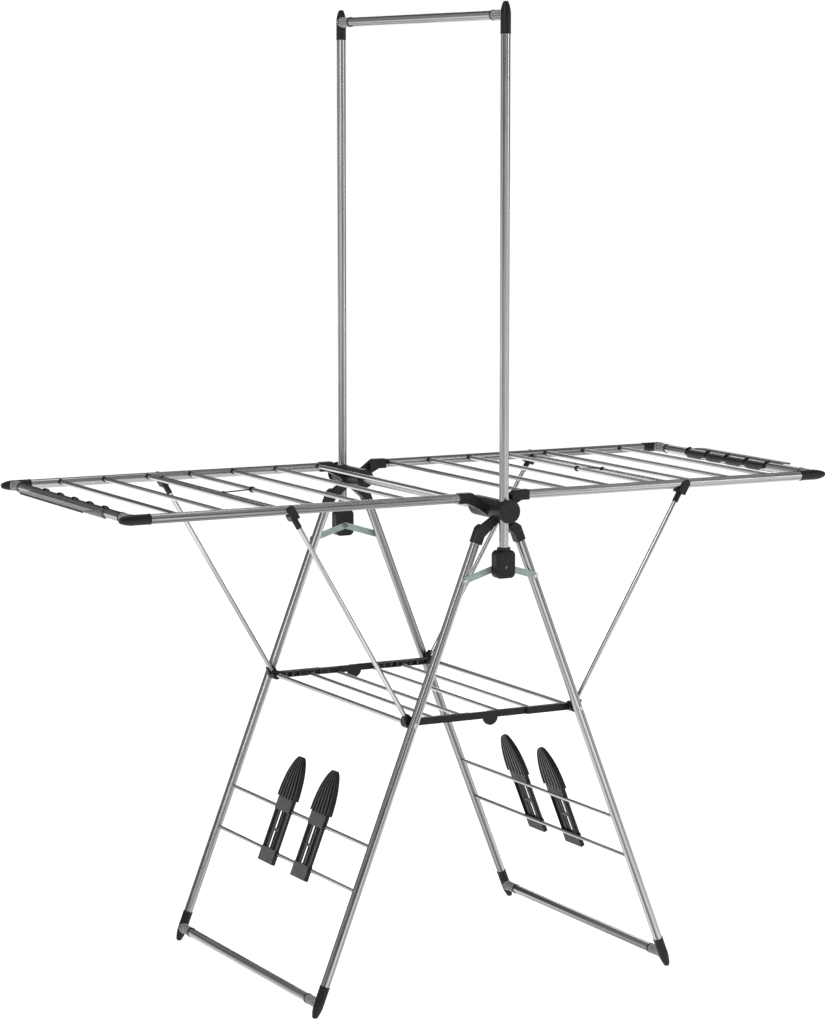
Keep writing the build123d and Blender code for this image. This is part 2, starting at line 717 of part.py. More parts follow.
cross_reach = WING_Y - TUBE_R - SADDLE_GAP
strut_spans = [((PIVOT_X, s * STRUT_Y, PIVOT_Z + 7), (PIVOT_X, s * STRUT_Y, top_z - 16)) for s in SIDES]
prop_rod_span = [across(PIVOT_X, top_z, cross_reach)]
prop_bars = group(rods(strut_spans, STRUT_R), rods(prop_rod_span, WING_ROD_R))
prop_cores = (bars(strut_spans, STRUT_R), bars(prop_rod_span, WING_ROD_R))
tube_room = bars(
    [((-PROP_TOP_X - 60, s * WING_Y, TUBE_Z), (-PROP_TOP_X + 60, s * WING_Y, TUBE_Z)) for s in SIDES],
    TUBE_R + SADDLE_GAP,
)
feet_pair = cut_from(group(prop_foot(), prop_foot().mirror(Plane.XZ)), *prop_cores)
saddles = cut_from(group(saddle(), saddle().mirror(Plane.XZ)), *prop_cores)
save_pair(leaned(feet_pair), "prop_feet")
save_pair(leaned(prop_bars), "prop_bars")
save_pair(cut_from(leaned(saddles), tube_room), "prop_saddles")
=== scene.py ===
import logging
import math
from dataclasses import dataclass, field
from enum import Enum
from typing import ClassVar, Iterable, Sequence

import bmesh
import bpy
from mathutils import Matrix, Vector


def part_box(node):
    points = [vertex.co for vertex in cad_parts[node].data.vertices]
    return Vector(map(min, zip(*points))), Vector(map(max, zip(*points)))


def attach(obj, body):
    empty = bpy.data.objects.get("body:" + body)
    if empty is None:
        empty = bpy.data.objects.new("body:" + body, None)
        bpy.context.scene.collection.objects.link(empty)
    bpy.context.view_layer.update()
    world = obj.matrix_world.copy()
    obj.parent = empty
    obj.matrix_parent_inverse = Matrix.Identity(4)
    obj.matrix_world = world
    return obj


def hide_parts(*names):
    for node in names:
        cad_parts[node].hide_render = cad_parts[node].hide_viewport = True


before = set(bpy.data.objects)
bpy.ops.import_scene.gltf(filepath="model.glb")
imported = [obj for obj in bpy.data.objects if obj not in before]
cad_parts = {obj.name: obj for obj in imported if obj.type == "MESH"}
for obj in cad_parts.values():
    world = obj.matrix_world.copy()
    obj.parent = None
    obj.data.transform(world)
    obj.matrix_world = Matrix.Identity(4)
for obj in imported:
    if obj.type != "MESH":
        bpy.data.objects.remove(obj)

LOG = logging.getLogger("drying_rack")
MM = 0.001
TUBE_RADIUS = 8.0 * MM
FRONT_BACK = (-1.0, 1.0)

Span = tuple[float, float]
Profile = Sequence[Span]
Colour = tuple[float, float, float]
Material = bpy.types.Material
Piece = bpy.types.Object
Socket = bpy.types.NodeSocket
Mesh = bmesh.types.BMesh
ACROSS, DEPTH, UP = Vector((1, 0, 0)), Vector((0, 1, 0)), Vector((0, 0, 1))


class Side(Enum):
    """Left-hand and right-hand half of the rack; the value is the sign of X."""

    LEFT = -1.0
    RIGHT = 1.0

    @property
    def prefix(self) -> str:
        """Word that starts the names of this half's nodes and bodies."""
        return self.name.lower()


# ---- finishes -------------------------------------------------------------------------------------
class MaterialTree:
    """A new material with its Principled shader and a short way of adding nodes."""

    def __init__(self, name: str) -> None:
        """Starts the material.

        Args:
            name: The material's name.
        """
        self.material = bpy.data.materials.new(name)
        self.material.use_nodes = True
        self.nodes = self.material.node_tree.nodes
        self.links = self.material.node_tree.links
        self.shader = self.nodes["Principled BSDF"]
        self.coordinates = self.nodes.new("ShaderNodeTexCoord").outputs["Object"]

    def node(self, kind: str, **values: object) -> bpy.types.Node:
        """Adds a node.

        Args:
            kind: The node's type name without its ShaderNode prefix.
            values: Input sockets by name, or properties of the node.

        Returns:
            The new node.
        """
        made = self.nodes.new("ShaderNode" + kind)
        for key, value in values.items():
            label = key.replace("_", " ").title()
            if label in made.inputs:
                made.inputs[label].default_value = value
            else:
                setattr(made, key, value)
        return made

    def turned(self, axis: Vector) -> Socket:
        """Object coordinates turned so that an axis becomes Z.

        Args:
            axis: The direction that becomes Z.

        Returns:
            The socket of the turned coordinates.
        """
        turn = self.node("Mapping")
        turn.inputs["Rotation"].default_value = axis.rotation_difference(Vector((0, 0, 1))).to_euler()
        self.links.new(self.coordinates, turn.inputs["Vector"])
        return turn.outputs["Vector"]

    def noise(self, source: Socket, scale: Sequence[float], detail: float = 3.0,
              rough: float = 0.6) -> Socket:
        """Noise on scaled coordinates.

        Args:
            source: The coordinates.
            scale: Features per metre along each axis.
            detail: Octaves of the noise.
            rough: Roughness of the octaves.

        Returns:
            The socket of the noise value.
        """
        stretch = self.node("Mapping")
        stretch.inputs["Scale"].default_value = scale
        self.links.new(source, stretch.inputs["Vector"])
        made = self.node("TexNoise", scale=1.0, detail=detail, roughness=rough)
        self.links.new(stretch.outputs["Vector"], made.inputs["Vector"])
        return made.outputs["Fac"]

    def band(self, value: Socket, low: float, high: float,
             start: float = 0.35, end: float = 0.65) -> Socket:
        """Maps a noise value to a range.

        Args:
            value: The value.
            low: Result at start.
            high: Result at end.
            start: Value that gives low.
            end: Value that gives high.

        Returns:
            The socket of the result.
        """
        made = self.node("MapRange")
        for name, number in (("From Min", start), ("From Max", end), ("To Min", low), ("To Max", high)):
            made.inputs[name].default_value = number
        self.links.new(value, made.inputs["Value"])
        return made.outputs["Result"]

    def blend(self, value: Socket, dark: Sequence[float],
              light: Sequence[float]) -> Socket:
        """Mixes two colours by a value.

        Args:
            value: The share of the light colour.
            dark: Colour at 0.
            light: Colour at 1.

        Returns:
            The socket of the colour.
        """
        made = self.nodes.new("ShaderNodeMix")
        made.data_type = "RGBA"
        made.inputs["A"].default_value = (*dark, 1.0)
        made.inputs["B"].default_value = (*light, 1.0)
        self.links.new(value, made.inputs["Factor"])
        return made.outputs["Result"]

    def bump(self, height: Socket, strength: float, distance: float) -> None:
        """Adds a bump to the shader.

        Args:
            height: The height value.
            strength: Strength of the bump.
            distance: Height in metres.
        """
        made = self.node("Bump", strength=strength, distance=distance)
        self.links.new(height, made.inputs["Height"])
        self.links.new(made.outputs["Normal"], self.shader.inputs["Normal"])

    def paint(self, colour: Socket, roughness: Socket, metallic: float = 0.0) -> Material:
        """Joins colour and roughness to the shader.

        Args:
            colour: The colour.
            roughness: The roughness.
            metallic: Share of metal.

        Returns:
            The material.
        """
        self.links.new(colour, self.shader.inputs["Base Color"])
        self.links.new(roughness, self.shader.inputs["Roughness"])
        self.shader.inputs["Metallic"].default_value = metallic
        return self.material


@dataclass(frozen=True)
class BrushedSteel:
    """Stainless tube or rod: broad lengthwise stripes of painted reflection and fine brushing along one
    direction, faint handling marks.
    """

    name: str
    axis: Vector
    # Ends of the colour range that the painted reflection stripes and the brushing run between.
    dark: Colour = (0.07, 0.07, 0.069)
    light: Colour = (0.6, 0.6, 0.595)
    bands_per_metre: float = 300.0
    smooth: float = 0.2
    dull: float = 0.34

    def material(self) -> Material:
        """Makes the material.

        Returns:
            The material.
        """
        tree = MaterialTree(self.name)
        along = tree.turned(self.axis)
        # Painted reflection: broad lengthwise stripes swing the metal's colour between the dark and light
        # ends like streaked studio reflections; the fine brushing mixed in below is the metal's own.
        reflection_streaks = tree.noise(along, (self.bands_per_metre, self.bands_per_metre, 0.9), detail=2.0)
        brushing = tree.noise(along, (1900.0, 1900.0, 7.0), detail=4.0, rough=0.7)
        marks = tree.noise(along, (60.0, 60.0, 14.0), detail=3.0)
        mixed = tree.nodes.new("ShaderNodeMath")
        mixed.operation = "MULTIPLY_ADD"
        mixed.inputs[1].default_value = 0.3
        tree.links.new(brushing, mixed.inputs[0])
        tree.links.new(tree.band(reflection_streaks, -0.05, 0.75, 0.36, 0.62), mixed.inputs[2])
        colour = tree.blend(mixed.outputs["Value"], self.dark, self.light)
        tree.bump(brushing, 0.2, 0.05 * MM)
        return tree.paint(colour, tree.band(marks, self.smooth, self.dull), 1.0)


@dataclass(frozen=True)
class MouldedPlastic:
    """Injection-moulded plastic: fine spark texture, slow gloss changes and rubbed lighter patches."""

    name: str
    dark: Colour
    light: Colour
    smooth: float = 0.34
    dull: float = 0.5
    grain: float = 0.00012
    shine: float = 0.25

    def material(self) -> Material:
        """Makes the material.

        Returns:
            The material.
        """
        tree = MaterialTree(self.name)
        place = tree.coordinates
        grain = tree.noise(place, (1400.0,) * 3, detail=2.0)
        flow = tree.noise(place, (38.0,) * 3, detail=4.0)
        rubbed = tree.noise(place, (120.0,) * 3, detail=5.0, rough=0.75)
        colour = tree.blend(tree.band(rubbed, 0.0, 1.0, 0.42, 0.68), self.dark, self.light)
        tree.shader.inputs["Specular IOR Level"].default_value = self.shine
        tree.bump(grain, 0.35, self.grain)
        return tree.paint(colour, tree.band(flow, self.smooth, self.dull))


@dataclass(frozen=True)
class ZincedSteel:
    """Grey-green passivated strip steel with a fine spangle and rolling streaks."""

    name: str
    dark: Colour = (0.25, 0.31, 0.295)
    light: Colour = (0.36, 0.43, 0.41)

    def material(self) -> Material:
        """Makes the material.

        Returns:
            The material.
        """
        tree = MaterialTree(self.name)
        spangle = tree.noise(tree.coordinates, (260.0,) * 3, detail=5.0, rough=0.7)
        streaks = tree.noise(tree.coordinates, (40.0, 900.0, 900.0), detail=3.0)
        colour = tree.blend(tree.band(spangle, 0.0, 1.0), self.dark, self.light)
        tree.bump(spangle, 0.2, 0.05 * MM)
        return tree.paint(colour, tree.band(streaks, 0.36, 0.52), 0.55)


@dataclass(frozen=True)
class BrightMetal:
    """Turned metal of screws and rivets, with tool marks as fine noise."""

    name: str
    dark: Colour = (0.4, 0.4, 0.4)
    light: Colour = (0.62, 0.62, 0.61)

    def material(self) -> Material:
        """Makes the material.

        Returns:
            The material.
        """
        tree = MaterialTree(self.name)
        marks = tree.noise(tree.coordinates, (900.0,) * 3, detail=4.0)
        colour = tree.blend(tree.band(marks, 0.0, 1.0), self.dark, self.light)
        tree.bump(marks, 0.15, 0.04 * MM)
        return tree.paint(colour, tree.band(marks, 0.15, 0.3), 1.0)


@dataclass
class Finishes:
    """All finishes of the rack; the steel ones are made once for each direction."""

    black: Material = field(init=False)
    hub_black: Material = field(init=False)
    grey: Material = field(init=False)
    clip_grey: Material = field(init=False)
    clip_light: Material = field(init=False)
    holder_black: Material = field(init=False)
    holder_grey: Material = field(init=False)
    zinc: Material = field(init=False)
    bright: Material = field(init=False)
    screw: Material = field(init=False)
    steels: dict[str, Material] = field(default_factory=dict)

    def __post_init__(self) -> None:
        """Makes the finishes that have no direction."""
        plan = {
            "black": ((0.007, 0.007, 0.007), (0.015, 0.0148, 0.0145)),
            "hub_black": ((0.0105, 0.0102, 0.01), (0.021, 0.0205, 0.02)),
            "grey": ((0.32, 0.32, 0.318), (0.46, 0.46, 0.456)),
            "clip_grey": ((0.11, 0.11, 0.108), (0.16, 0.16, 0.157)),
            "clip_light": ((0.5, 0.5, 0.495), (0.68, 0.68, 0.675)),
            "holder_black": ((0.005, 0.005, 0.005), (0.012, 0.012, 0.012)),
            # This grey paints highlight on the raised faces of black mouldings and shade in the flutes
            # between the sleeves' lighter ribs.
            "holder_grey": ((0.085, 0.085, 0.085), (0.115, 0.115, 0.114)),
        }
        for name, (dark, light) in plan.items():
            setattr(self, name, MouldedPlastic(name + "_moulding", dark, light).material())
        self.zinc = ZincedSteel("zinced_strip").material()
        self.bright = BrightMetal("bright_fastener").material()
        # Painted shade: the screw sits deep in the link box's recessed hole, so its steel is drawn much
        # darker than the bright rivets.
        self.screw = BrightMetal("screw_steel", (0.05, 0.05, 0.05), (0.2, 0.2, 0.2)).material()

    def steel(self, axis: Vector, rod: bool = False) -> Material:
        """Brushed steel along a direction.

        Args:
            axis: The direction of the tube.
            rod: Whether it is a thin rod, which is brighter.

        Returns:
            The material, made at its first use.
        """
        direction = axis.normalized()
        key = "_".join(f"{abs(round(c * 100)):03d}{'m' if c < -0.005 else 'p'}" for c in direction)
        name = ("rod_steel_" if rod else "tube_steel_") + key
        if name not in self.steels:
            # Rods get their own ends for the painted reflection stripes and the brushing.
            tones = {"dark": (0.2, 0.2, 0.198), "light": (0.7, 0.7, 0.695)} if rod else {}
            self.steels[name] = BrushedSteel(name, direction, **tones).material()
        return self.steels[name]


# ---- mesh helpers ---------------------------------------------------------------------------------
@dataclass(frozen=True)
class Place:
    """A right-handed set of axes at a point; local X, Y and Z of a piece are put along them."""

    origin: Vector
    x: Vector
    y: Vector
    z: Vector

    @classmethod
    def along(cls, origin: Vector, z: Vector, x: Vector) -> "Place":
        """Axes from a main direction and a second one.

        Args:
            origin: The point.
            z: Direction of local Z.
            x: Rough direction of local X.

        Returns:
            The axes.
        """
        main = z.normalized()
        second = (x - x.dot(main) * main).normalized()
        return cls(Vector(origin), second, main.cross(second), main)

    def matrix(self) -> Matrix:
        """The matrix from local coordinates to the rack's."""
        turn = Matrix((self.x, self.y, self.z)).transposed().to_4x4()
        return Matrix.Translation(self.origin) @ turn


def linked(name: str, data: bpy.types.ID) -> Piece:
    """Adds an object to the scene.

    Args:
        name: Its name.
        data: Its mesh, light or camera.

    Returns:
        The object.
    """
    made = bpy.data.objects.new(name, data)
    bpy.context.scene.collection.objects.link(made)
    return made


def object_from(shape: Mesh, place: Place | None = None, material: Material | None = None,
                rounding: float = 0.0, smooth_angle: float = 35.0) -> Piece:
    """Makes an object at the origin from a bmesh.

    Args:
        shape: The shape, which is freed.
        place: Where its local axes go, or none if it is in place.
        material: Its material, if it gets only one.
        rounding: Width of the bevel on its sharp edges, or 0.
        smooth_angle: Edges sharper than this many degrees stay sharp.

    Returns:
        The object.
    """
    if place is not None:
        shape.transform(place.matrix())
    bmesh.ops.remove_doubles(shape, verts=shape.verts, dist=1e-6)
    bmesh.ops.recalc_face_normals(shape, faces=shape.faces)
    limit = math.radians(smooth_angle)
    for face in shape.faces:
        face.smooth = True
    for edge in shape.edges:
        edge.smooth = len(edge.link_faces) == 2 and edge.calc_face_angle(0.0) < limit
    mesh = bpy.data.meshes.new("passing")
    shape.to_mesh(mesh)
    shape.free()
    made = linked("passing", mesh)
    if rounding:
        soften(made, rounding)
    return dress(made, material) if material else made


def lathe(profile: Profile, steps: int, place: Place, material: Material,
          rounding: float = 0.0) -> Piece:
    """Makes a closed solid of revolution about local Z.

    Args:
        profile: Closed outline as radius and height, without repeating the first point.
        steps: Steps round the axis.
        place: Where the local axes go.
        material: Its material.
        rounding: Width of the bevel, or 0.

    Returns:
        The piece.
    """
    shape = bmesh.new()
    rings = []
    for k in range(steps):
        turn = 2 * math.pi * k / steps
        rings.append([shape.verts.new((r * math.cos(turn), r * math.sin(turn), z)) for r, z in profile])
    count = len(profile)
    for k in range(steps):
        ring, after = rings[k], rings[(k + 1) % steps]
        for i in range(count):
            j = (i + 1) % count
            if profile[i][0] > 1e-7 or profile[j][0] > 1e-7:
                shape.faces.new((ring[i], after[i], after[j], ring[j]))
    return object_from(shape, place, material, rounding)


def prism(outline: Profile, low: float, high: float, place: Place | None = None,
          material: Material | None = None, rounding: float = 0.0) -> Piece:
    """Makes an outline in local XY into a solid along local Z.

    Args:
        outline: Points of the outline.
        low: Lower height.
        high: Upper height.
        place: Where the local axes go, or none if it is in place.
        material: Its material, if it gets one here.
        rounding: Width of the bevel, or 0.

    Returns:
        The piece.
    """
    shape = bmesh.new()
    bottom = [shape.verts.new((x, y, low)) for x, y in outline]
    top = [shape.verts.new((x, y, high)) for x, y in outline]
    shape.faces.new(bottom[::-1])
    shape.faces.new(top)
    count = len(outline)
    for i in range(count):
        j = (i + 1) % count
        shape.faces.new((bottom[i], bottom[j], top[j], top[i]))
    return object_from(shape, place, material, rounding)


def rectangle(x0: float, x1: float, y0: float, y1: float) -> Profile:
    """The four corners of a rectangle."""
    return [(x0, y0), (x1, y0), (x1, y1), (x0, y1)]


def arc(radius: float, start: float, end: float, steps: int) -> list[Span]:
    """Points on an arc about the origin.

    Args:
        radius: Its radius.
        start: First angle in degrees.
        end: Last angle in degrees.
        steps: Number of steps.

    Returns:
        The points.
    """
    angles = (math.radians(start + (end - start) * k / steps) for k in range(steps + 1))
    return [(radius * math.cos(a), radius * math.sin(a)) for a in angles]


def soften(piece: Piece, width: float) -> None:
    """Rounds the sharp edges of a piece with a bevel, applied at once.

    Args:
        piece: The piece.
        width: Width of the rounding in metres.
    """
    bevel = piece.modifiers.new("soften", "BEVEL")
    bevel.width = width
    bevel.segments = 2
    bevel.limit_method = "ANGLE"
    bevel.angle_limit = math.radians(40)
    bevel.harden_normals = False
    applied(piece)


def applied(piece: Piece) -> None:
    """Turns a piece with modifiers into a plain mesh.

    Args:
        piece: The piece.
    """
    graph = bpy.context.evaluated_depsgraph_get()
    graph.update()
    mesh = bpy.data.meshes.new_from_object(piece.evaluated_get(graph), depsgraph=graph)
    piece.modifiers.clear()
    piece.data = mesh


# ---- geometry nodes -------------------------------------------------------------------------------
class RepeatKind(Enum):
    """How a repeated shape is laid out."""

    ROUND = "round"
    ROW = "row"


@dataclass
class Repeater:
    """Geometry Nodes tree that repeats one small shape round local Z or in a row along local Z."""

    NODES: ClassVar[dict[str, str]] = {
        "given": "NodeGroupInput", "line": "GeometryNodeMeshLine", "shape": "GeometryNodeObjectInfo",
        "copies": "GeometryNodeInstanceOnPoints", "index": "GeometryNodeInputIndex",
        "step": "ShaderNodeMath", "turn": "ShaderNodeCombineXYZ", "reach": "ShaderNodeCombineXYZ",
        "uneven": "FunctionNodeRandomValue", "least": "ShaderNodeMath", "size": "ShaderNodeCombineXYZ",
        "real": "GeometryNodeRealizeInstances", "dress": "GeometryNodeSetMaterial",
        "out": "NodeGroupOutput",
    }
    LINKS: ClassVar[tuple] = (
        ("given", "Count", "line", "Count"), ("given", "Shape", "shape", "Object"),
        ("line", "Mesh", "copies", "Points"), ("shape", "Geometry", "copies", "Instance"),
        ("index", "Index", "step", 0), ("given", "Pitch", "step", 1), ("step", "Value", "turn", "Z"),
        ("given", "Uneven", "least", 1), ("size", "Vector", "copies", "Scale"),
        ("copies", "Instances", "real", "Geometry"), ("real", "Geometry", "dress", "Geometry"),
        ("given", "Material", "dress", "Material"), ("dress", "Geometry", "out", "Geometry"),
    )
    TURN_LINKS: ClassVar[tuple] = (("turn", "Vector", "copies", "Rotation"),)
    ROW_LINKS: ClassVar[tuple] = (("given", "Pitch", "reach", "Z"), ("reach", "Vector", "line", "Offset"))

    kind: RepeatKind
    seed: int = 7

    def tree(self) -> tuple[bpy.types.NodeTree, dict[str, str]]:
        """Builds the tree.

        Returns:
            The tree and the identifier of each named input.
        """
        tree = bpy.data.node_groups.new("repeat_" + self.kind.value, "GeometryNodeTree")
        add = tree.interface.new_socket
        add("Geometry", in_out="INPUT", socket_type="NodeSocketGeometry")
        inputs = (("Shape", "Object"), ("Count", "Int"), ("Pitch", "Float"), ("Uneven", "Float"),
                  ("Material", "Material"))
        sockets = {name: add(name, in_out="INPUT", socket_type="NodeSocket" + kind).identifier
                   for name, kind in inputs}
        add("Geometry", in_out="OUTPUT", socket_type="NodeSocketGeometry")
        nodes = {key: tree.nodes.new(kind) for key, kind in self.NODES.items()}
        nodes["line"].mode = "OFFSET"
        nodes["shape"].transform_space = "RELATIVE"
        nodes["step"].operation = "MULTIPLY"
        nodes["least"].operation = "SUBTRACT"
        nodes["least"].inputs[0].default_value = 1.0
        nodes["size"].inputs["Z"].default_value = 1.0
        uneven = nodes["uneven"]
        uneven.data_type = "FLOAT"
        uneven.inputs["Seed"].default_value = self.seed
        low, high = (s for s in uneven.inputs if s.name in ("Min", "Max") and s.type == "VALUE")
        high.default_value = 1.0
        value = next(s for s in uneven.outputs if s.type == "VALUE")
        tree.links.new(nodes["least"].outputs["Value"], low)
        for axis in ("X", "Y"):
            tree.links.new(value, nodes["size"].inputs[axis])
        own = self.TURN_LINKS if self.kind is RepeatKind.ROUND else self.ROW_LINKS
        nodes["line"].inputs["Offset"].default_value = (0.0, 0.0, 0.0)
        for source, output, target, entry in self.LINKS + own:
            tree.links.new(nodes[source].outputs[output], nodes[target].inputs[entry])
        return tree, sockets

    def repeat(self, shape: Piece, count: int, pitch: float, material: Material, place: Place,
               uneven: float = 0.0) -> Piece:
        """Repeats a shape and turns the result into a plain mesh in place.

        Args:
            shape: The small shape in local coordinates, which is removed.
            count: Number of copies.
            pitch: Step in metres, or in radians for a round layout.
            material: Material of the copies.
            place: Where the local axes go.
            uneven: Largest share by which a copy is smaller.

        Returns:
            The new piece.
        """
        tree, sockets = self.tree()
        holder = linked("passing", bpy.data.meshes.new("passing"))
        modifier = holder.modifiers.new("repeat", "NODES")
        modifier.node_group = tree
        given = {"Shape": shape, "Count": count, "Pitch": pitch, "Uneven": uneven, "Material": material}
        for key, value in given.items():
            modifier[sockets[key]] = value
        applied(holder)
        holder.data.transform(place.matrix())
        bpy.data.objects.remove(shape)
        return holder


def joined(name: str, pieces: Iterable[Piece]) -> Piece:
    """Joins plain pieces into one, keeping each one's materials.

    Args:
        name: Name of the result.
        pieces: The pieces, which are removed.

    Returns:
        The joined piece.
    """
    shape = bmesh.new()
    materials: list[Material] = []
    for piece in pieces:
        start = len(shape.faces)
        shape.from_mesh(piece.data)
        shape.faces.ensure_lookup_table()
        own = list(piece.data.materials)
        for face in shape.faces[start:]:
            material = own[face.material_index] if own else None
            if material not in materials:
                materials.append(material)
            face.material_index = materials.index(material)
        bpy.data.objects.remove(piece)
    mesh = bpy.data.meshes.new(name)
    shape.to_mesh(mesh)
    shape.free()
    for material in materials:
        mesh.materials.append(material)
    return linked(name, mesh)


def dress(piece: Piece, material: Material) -> Piece:
    """Gives a piece one material.

    Args:
        piece: The piece.
        material: The material.

    Returns:
        The piece.
    """
    piece.data.materials.clear()
    piece.data.materials.append(material)
    return piece


def hand_over(piece: Piece, body: str, slot: str, *nodes: str) -> None:
    """Says what a finished piece rides on and which CAD nodes it stands for.

    Args:
        piece: The piece.
        body: The body it moves with.
        slot: Not used.
        nodes: CAD nodes that it replaces.
    """
    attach(piece, body)
    if nodes:
        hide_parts(*nodes)
    LOG.info("%s rides on %s", piece.name, body)


def middle(node: str) -> Vector:
    """Centre of a CAD node's box."""
    low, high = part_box(node)
    return (low + high) / 2


# ---- sub-assemblies -------------------------------------------------------------------------------
@dataclass
class BranchSleeves:
    """The two fluted sleeves that join a cross bar to its corner connectors."""

    name: str
    body: str
    bar: str
    node: str
    tube_axis: Vector
    length: float = 41.0 * MM
    start: float = 6.5 * MM
    core: float = 7.7 * MM
    rib_half: float = 1.05 * MM
    rib_top: float = 8.55 * MM
    ribs: int = 16
    rim_radius: float = 9.0 * MM
    rim_width: float = 2.6 * MM

    def places(self) -> list[Place]:
        """Axes of the two sleeves: local Z from the connector to the bar, X along the tube.

        Returns:
            The axes of the front and the back sleeve.
        """
        low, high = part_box(self.bar)
        centre = (low + high) / 2
        made = []
        for sign in FRONT_BACK:
            end = low.y if sign < 0 else high.y
            root = Vector((centre.x, end + sign * self.length, centre.z))
            made.append(Place.along(root, Vector((0, -sign, 0)), self.tube_axis))
        return made

    def fluted_body(self, place: Place, finishes: Finishes) -> list[Piece]:
        """Core with ribs round it.

        Args:
            place: The sleeve's axes.
            finishes: The finishes.

        Returns:
            The core and the ribs.
        """
        start, stop = self.start, self.length - self.rim_width
        # Painted shade: the core, seen only in the flutes between the ribs, takes a much darker grey than
        # the ribs.
        core = lathe([(0, start), (self.core, start), (self.core, stop), (0, stop)], 48, place,
                     finishes.holder_grey)
        half, foot, shoulder = self.rib_half, self.core - 0.6 * MM, self.rib_top - 0.25 * MM
        outline = [(foot, -half), (shoulder, -0.62 * half), (self.rib_top, -0.3 * half),
                   (self.rib_top, 0.3 * half), (shoulder, 0.62 * half), (foot, half)]
        rib = prism(outline, start, stop - 0.2 * MM)
        ribs = Repeater(RepeatKind.ROUND).repeat(
            rib, self.ribs, 2 * math.pi / self.ribs, finishes.grey, place)
        return [core, ribs]

    def rim(self, place: Place, material: Material) -> Piece:
        """Dark collar at the bar's end of the sleeve.

        Args:
            place: The sleeve's axes.
            material: Its material.

        Returns:
            The piece.
        """
        low, high = self.length - self.rim_width, self.length + 0.4 * MM
        edge, step = 0.5 * MM, 0.2 * MM
        inner, bore = self.core - 0.5 * MM, TUBE_RADIUS + 0.02 * MM
        return lathe([
            (inner, low), (self.rim_radius - edge, low), (self.rim_radius, low + edge),
            (self.rim_radius, high - edge), (self.rim_radius - edge, high), (bore, high),
            (bore, high - step), (inner, high - step),
        ], 48, place, material)

    def saddle(self, place: Place, material: Material) -> Piece:
        """Bead that follows the line where the sleeve meets the round connector.

        Args:
            place: The sleeve's axes.
            material: Its material.

        Returns:
            The piece.
        """
        cap, ring, bead, steps, around = 8.75 * MM, 8.6 * MM, 0.95 * MM, 64, 8
        shape = bmesh.new()
        loops = []
        for k in range(steps):
            turn = 2 * math.pi * k / steps
            x, y = ring * math.cos(turn), ring * math.sin(turn)
            z = math.sqrt(max(cap * cap - y * y, 0.0)) + 0.3 * MM
            outward = Vector((math.cos(turn), math.sin(turn), 0))
            loops.append([
                shape.verts.new(Vector((x, y, z)) + bead * (
                    math.cos(2 * math.pi * a / around) * outward
                    + math.sin(2 * math.pi * a / around) * Vector((0, 0, 1.2))))
                for a in range(around)
            ])
        for k in range(steps):
            for a in range(around):
                b = (a + 1) % around
                after = loops[(k + 1) % steps]
                shape.faces.new((loops[k][a], after[a], after[b], loops[k][b]))
        return object_from(shape, place, material)

    def build(self, finishes: Finishes) -> None:
        """Makes both sleeves and hands them over.

        Args:
            finishes: The finishes.
        """
        grey, dark = [], []
        for place in self.places():
            grey += [*self.fluted_body(place, finishes), self.saddle(place, finishes.grey)]
            dark.append(self.rim(place, finishes.black))
        hand_over(joined(self.name + "_flutes", grey), self.body, "grey_plastic", self.node)
        hand_over(joined(self.name + "_rims", dark), self.body, "black_plastic")


